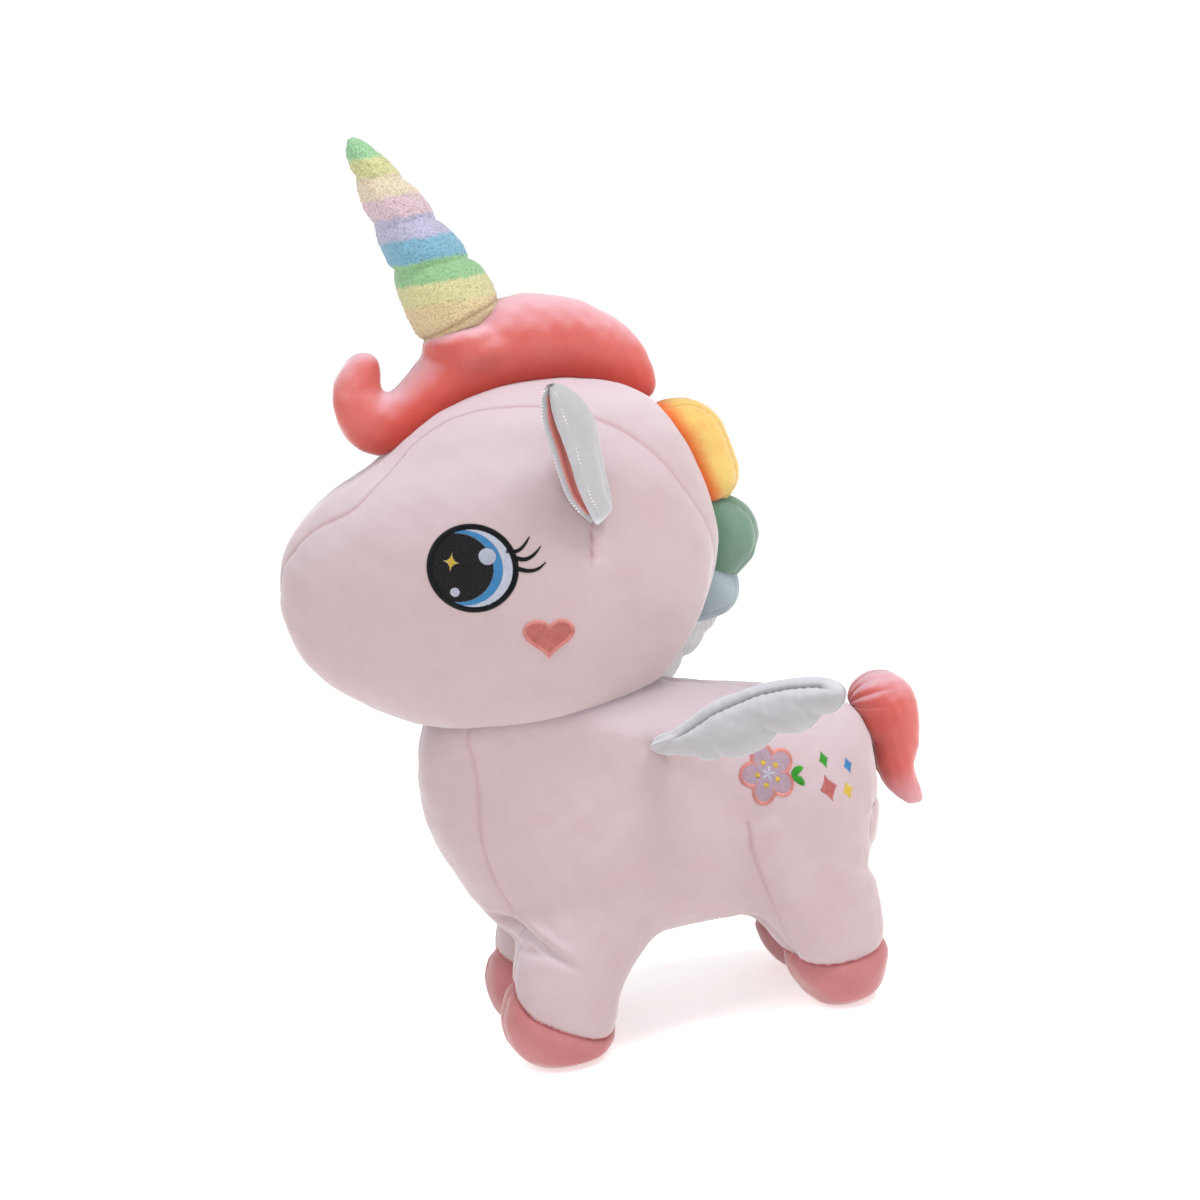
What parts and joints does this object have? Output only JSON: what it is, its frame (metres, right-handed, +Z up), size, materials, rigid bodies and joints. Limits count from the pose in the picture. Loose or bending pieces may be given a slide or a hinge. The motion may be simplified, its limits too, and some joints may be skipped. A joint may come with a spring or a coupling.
{
  "type": "plush unicorn toy",
  "caption": "Standing plush unicorn with a striped fabric horn, curled forelock, lobed mane, folding ears, spread wings, a stuffed tail and embroidered eyes.",
  "frame": {"origin": "on the floor between the four hooves, under the middle of the toy's length, on its middle plane", "axes": "+Z up towards the horn tip, -X the way the muzzle points, -Y the toy's left side"},
  "size_m": [0.387, 0.353, 0.5818],
  "materials": {
    "pink_plush": "short-pile velvet plush, pale pink",
    "hoof_plush": "short-pile velvet plush, coral pink",
    "mane_plush": "short-pile velvet plush, rose pink",
    "yellow_plush": "short-pile velvet plush, warm yellow",
    "green_plush": "short-pile velvet plush, sage green",
    "blue_plush": "short-pile velvet plush, grey blue",
    "white_plush": "short-pile velvet plush, white",
    "ear_lining": "short-pile velvet plush, coral",
    "horn_fleece": "printed rainbow fleece with a curly nap",
    "fibre_fill": "loose polyester fibre",
    "black_thread": "satin-stitched embroidery thread",
    "blue_thread": "satin-stitched embroidery thread",
    "white_thread": "satin-stitched embroidery thread",
    "yellow_thread": "satin-stitched embroidery thread",
    "lilac_thread": "filled embroidery thread",
    "coral_thread": "satin-stitched embroidery thread",
    "green_thread": "satin-stitched embroidery thread"
  },
  "bodies": {
    "toy": {"body_left_panel": "pink_plush", "body_right_panel": "pink_plush", "chest_belly_gusset": "pink_plush", "body_stuffing": "fibre_fill", "front_left_hoof": "hoof_plush", "front_right_hoof": "hoof_plush", "hind_left_hoof": "hoof_plush", "hind_right_hoof": "hoof_plush", "head_left_panel": "pink_plush", "head_right_panel": "pink_plush", "head_gusset": "pink_plush", "head_stuffing": "fibre_fill", "horn_cover": "horn_fleece", "horn_stuffing": "fibre_fill", "forelock_left_panel": "mane_plush", "forelock_right_panel": "mane_plush", "forelock_stuffing": "fibre_fill", "mane_yellow_left_panel": "yellow_plush", "mane_yellow_right_panel": "yellow_plush", "mane_yellow_stuffing": "fibre_fill", "mane_green_left_panel": "green_plush", "mane_green_right_panel": "green_plush", "mane_green_stuffing": "fibre_fill", "mane_blue_left_panel": "blue_plush", "mane_blue_right_panel": "blue_plush", "mane_blue_stuffing": "fibre_fill", "left_eye_black_thread": "black_thread", "left_eye_blue_thread": "blue_thread", "left_eye_white_thread": "white_thread", "left_eye_star_thread": "yellow_thread", "right_eye_black_thread": "black_thread", "right_eye_blue_thread": "blue_thread", "right_eye_white_thread": "white_thread", "right_eye_star_thread": "yellow_thread", "left_cheek_heart": "coral_thread", "right_cheek_heart": "coral_thread", "left_blossom_petals": "lilac_thread", "left_flank_coral_thread": "coral_thread", "left_flank_yellow_thread": "yellow_thread", "left_flank_green_thread": "green_thread", "left_flank_blue_thread": "blue_thread", "right_blossom_petals": "lilac_thread", "right_flank_coral_thread": "coral_thread", "right_flank_yellow_thread": "yellow_thread", "right_flank_green_thread": "green_thread", "right_flank_blue_thread": "blue_thread"},
    "left_ear": {"left_ear_lining": "ear_lining", "left_ear_back": "white_plush"},
    "right_ear": {"right_ear_lining": "ear_lining", "right_ear_back": "white_plush"},
    "left_wing": {"left_wing_outer": "white_plush", "left_wing_inner": "white_plush", "left_wing_stuffing": "fibre_fill"},
    "right_wing": {"right_wing_outer": "white_plush", "right_wing_inner": "white_plush", "right_wing_stuffing": "fibre_fill"},
    "tail": {"tail_left_panel": "mane_plush", "tail_right_panel": "mane_plush", "tail_stuffing": "fibre_fill"}
  },
  "joints": [
    {"name": "left_wing_flap", "type": "hinge", "parent": "toy", "child": "left_wing", "pos_m": [0.01339, -0.07956, 0.19033], "axis": [-1, 0, 0], "range_deg": [-25, 30], "stiffness_Nm_per_rad": 0.06},
    {"name": "right_wing_flap", "type": "hinge", "parent": "toy", "child": "right_wing", "pos_m": [0.01339, 0.07956, 0.19033], "axis": [1, 0, 0], "range_deg": [-25, 30], "stiffness_Nm_per_rad": 0.06},
    {"name": "left_ear_fold", "type": "hinge", "parent": "toy", "child": "left_ear", "pos_m": [-0.005, -0.094, 0.34], "axis": [0, -1, 0], "range_deg": [-18, 18], "stiffness_Nm_per_rad": 0.03},
    {"name": "right_ear_fold", "type": "hinge", "parent": "toy", "child": "right_ear", "pos_m": [-0.005, 0.094, 0.34], "axis": [0, -1, 0], "range_deg": [-18, 18], "stiffness_Nm_per_rad": 0.03},
    {"name": "tail_lift", "type": "hinge", "parent": "toy", "child": "tail", "pos_m": [0.152, 0, 0.18], "axis": [0, -1, 0], "range_deg": [0, 35], "stiffness_Nm_per_rad": 0.06}
  ]
}
